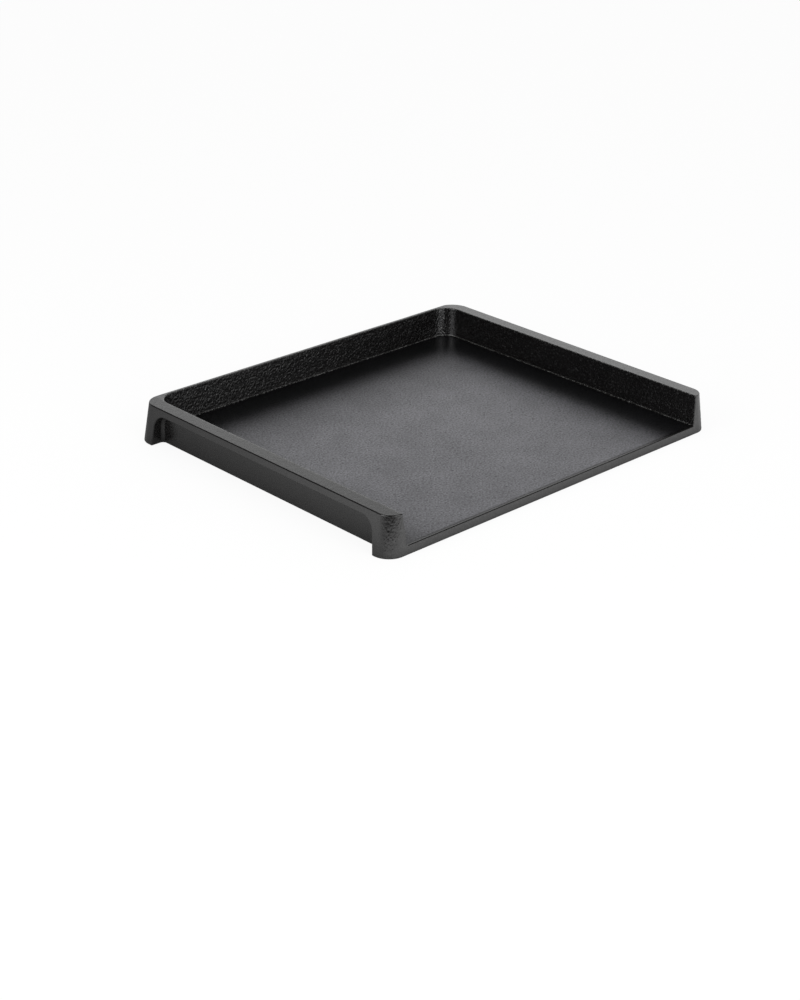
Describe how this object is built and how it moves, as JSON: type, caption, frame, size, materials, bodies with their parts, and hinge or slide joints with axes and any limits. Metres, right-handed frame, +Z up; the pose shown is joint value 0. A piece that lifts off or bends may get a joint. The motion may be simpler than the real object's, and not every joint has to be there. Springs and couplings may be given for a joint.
{
  "type": "griddle plate",
  "caption": "Cast-iron griddle plate: flat cooking floor, rims on three sides, open front edge, and a finger recess under each side rim.",
  "frame": {"origin": "middle of the underside: the bottom centre of the bounding box, on the surface that the plate rests on", "axes": "+Z up, out of the cooking floor. +X across the plate to the right handle rim, seen from the open front edge. +Y from the open front edge to the rear rim"},
  "size_m": [0.3436, 0.2798, 0.031],
  "materials": {
    "cooking_iron": "satin, seasoned, finely grained",
    "wall_iron": "rough sand-cast, black",
    "rim_iron": "fine grained satin",
    "foot_iron": "speckled sand-cast, charcoal"
  },
  "bodies": {
    "root": {"cooking_floor": "cooking_iron", "rear_rim": "wall_iron", "left_side_wall": "wall_iron", "right_side_wall": "wall_iron", "left_handle_rim": "rim_iron", "right_handle_rim": "rim_iron", "front_left_corner_foot": "foot_iron", "front_right_corner_foot": "foot_iron", "rear_left_corner_foot": "foot_iron", "rear_right_corner_foot": "foot_iron"}
  },
  "joints": []
}
